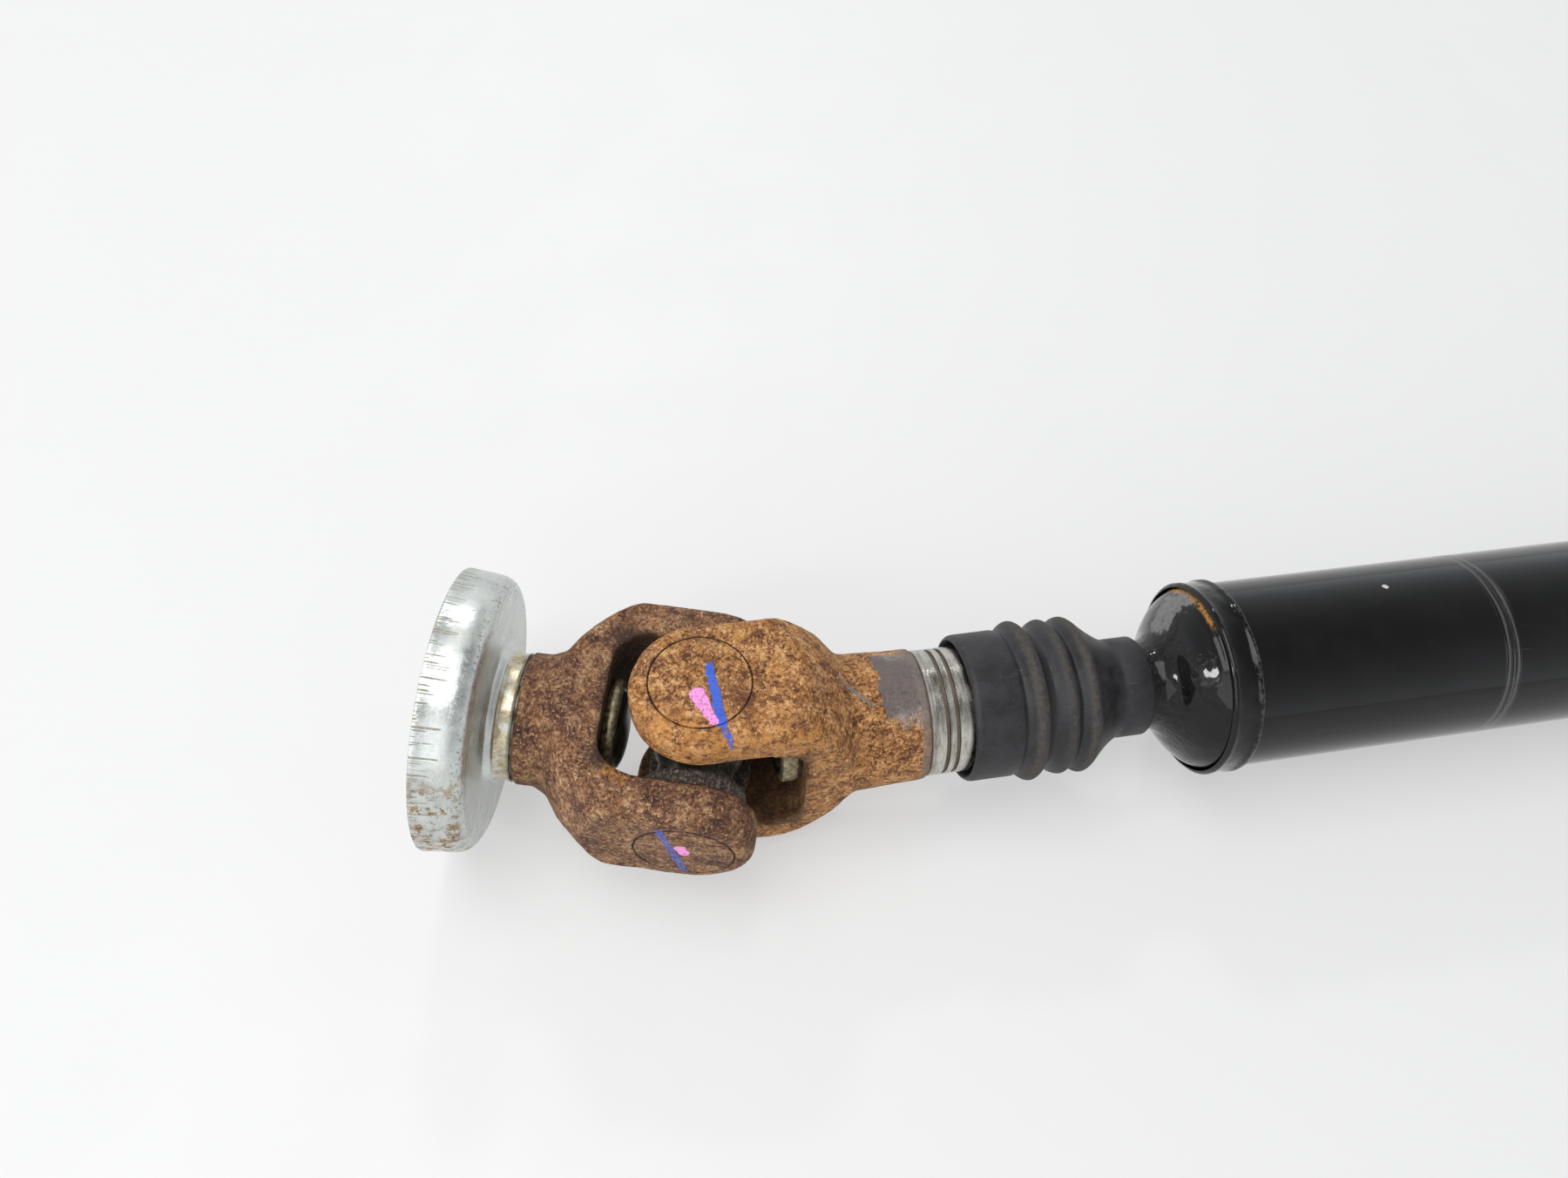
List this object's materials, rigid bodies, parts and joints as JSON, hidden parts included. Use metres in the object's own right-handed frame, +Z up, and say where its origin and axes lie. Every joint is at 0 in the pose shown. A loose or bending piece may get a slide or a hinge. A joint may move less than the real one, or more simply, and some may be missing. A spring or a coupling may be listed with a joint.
{
  "type": "universal joint shaft",
  "caption": "Used front propeller shaft: splined plug yoke with dust cap, cross joint, slip yoke under a rubber boot, welded tube and a flange yoke.",
  "frame": {"origin": "centre of the flange yoke's mating face", "axes": "+X along the tube from the dust cap end to the flange end, +Z up as the shaft lies on a bench, +Y to the far side"},
  "size_m": [0.729, 0.0852, 0.0726],
  "materials": {
    "zinc_sheet": "satin",
    "plug_yoke_rust": "matte",
    "plug_core_gold": "satin",
    "cross_steel": "satin",
    "slip_yoke_rust": "matte",
    "slip_core_gold": "satin",
    "stub_paint": "gloss",
    "boot_rubber": "matte",
    "tube_paint": "gloss",
    "front_bead_paint": "gloss",
    "rear_bead_paint": "gloss",
    "weight_paint": "gloss",
    "weld_yoke_paint": "gloss",
    "flange_yoke_rust": "matte",
    "near_cup_top_rust": "matte",
    "near_cup_bottom_rust": "matte",
    "near_cup_front_rust": "matte",
    "near_cup_back_rust": "matte",
    "far_cup_rust": "matte",
    "seal_rubber": "matte",
    "needle_steel": "polished"
  },
  "bodies": {
    "shaft": {"splined_stub": "stub_paint", "boot": "boot_rubber", "tube": "tube_paint", "front_weld_bead": "front_bead_paint", "rear_weld_bead": "rear_bead_paint", "balance_weight": "weight_paint", "weld_yoke": "weld_yoke_paint", "far_cup_top": "far_cup_rust", "far_cup_bottom": "far_cup_rust", "far_seal_top": "seal_rubber", "far_seal_bottom": "seal_rubber", "far_needles_top": "needle_steel", "far_needles_bottom": "needle_steel"},
    "slip_yoke_body": {"slip_yoke": "slip_yoke_rust", "slip_core_plug": "slip_core_gold", "near_cup_top": "near_cup_top_rust", "near_cup_bottom": "near_cup_bottom_rust", "near_seal_top": "seal_rubber", "near_seal_bottom": "seal_rubber", "near_needles_top": "needle_steel", "near_needles_bottom": "needle_steel"},
    "near_cross_body": {"near_cross": "cross_steel"},
    "plug_yoke_body": {"plug_yoke": "plug_yoke_rust", "plug_core_plug": "plug_core_gold", "dust_cap": "zinc_sheet", "near_cup_front": "near_cup_front_rust", "near_cup_back": "near_cup_back_rust", "near_seal_front": "seal_rubber", "near_seal_back": "seal_rubber", "near_needles_front": "needle_steel", "near_needles_back": "needle_steel"},
    "far_cross_body": {"far_cross": "cross_steel"},
    "flange_yoke_body": {"flange_yoke": "flange_yoke_rust", "far_cup_front": "far_cup_rust", "far_cup_back": "far_cup_rust", "far_seal_front": "seal_rubber", "far_seal_back": "seal_rubber", "far_needles_front": "needle_steel", "far_needles_back": "needle_steel"}
  },
  "joints": [
    {"name": "slip", "type": "slide", "parent": "shaft", "child": "slip_yoke_body", "axis": [1, 0, 0], "range_m": [-0.018, 0.01]},
    {"name": "near_side_bend", "type": "hinge", "parent": "slip_yoke_body", "child": "near_cross_body", "pos_m": [-0.657, 0, 0], "axis": [0, 0, 1], "range_deg": [-2.8, 33.2]},
    {"name": "near_up_bend", "type": "hinge", "parent": "near_cross_body", "child": "plug_yoke_body", "pos_m": [-0.657, 0, 0], "axis": [-0.2622, -0.965, 0], "range_deg": [-14.6, 21.4]},
    {"name": "far_side_bend", "type": "hinge", "parent": "shaft", "child": "far_cross_body", "pos_m": [-0.057, 0, 0], "axis": [0, 0, 1], "range_deg": [-18, 18]},
    {"name": "far_up_bend", "type": "hinge", "parent": "far_cross_body", "child": "flange_yoke_body", "pos_m": [-0.057, 0, 0], "axis": [0, 1, 0], "range_deg": [-18, 18]}
  ]
}
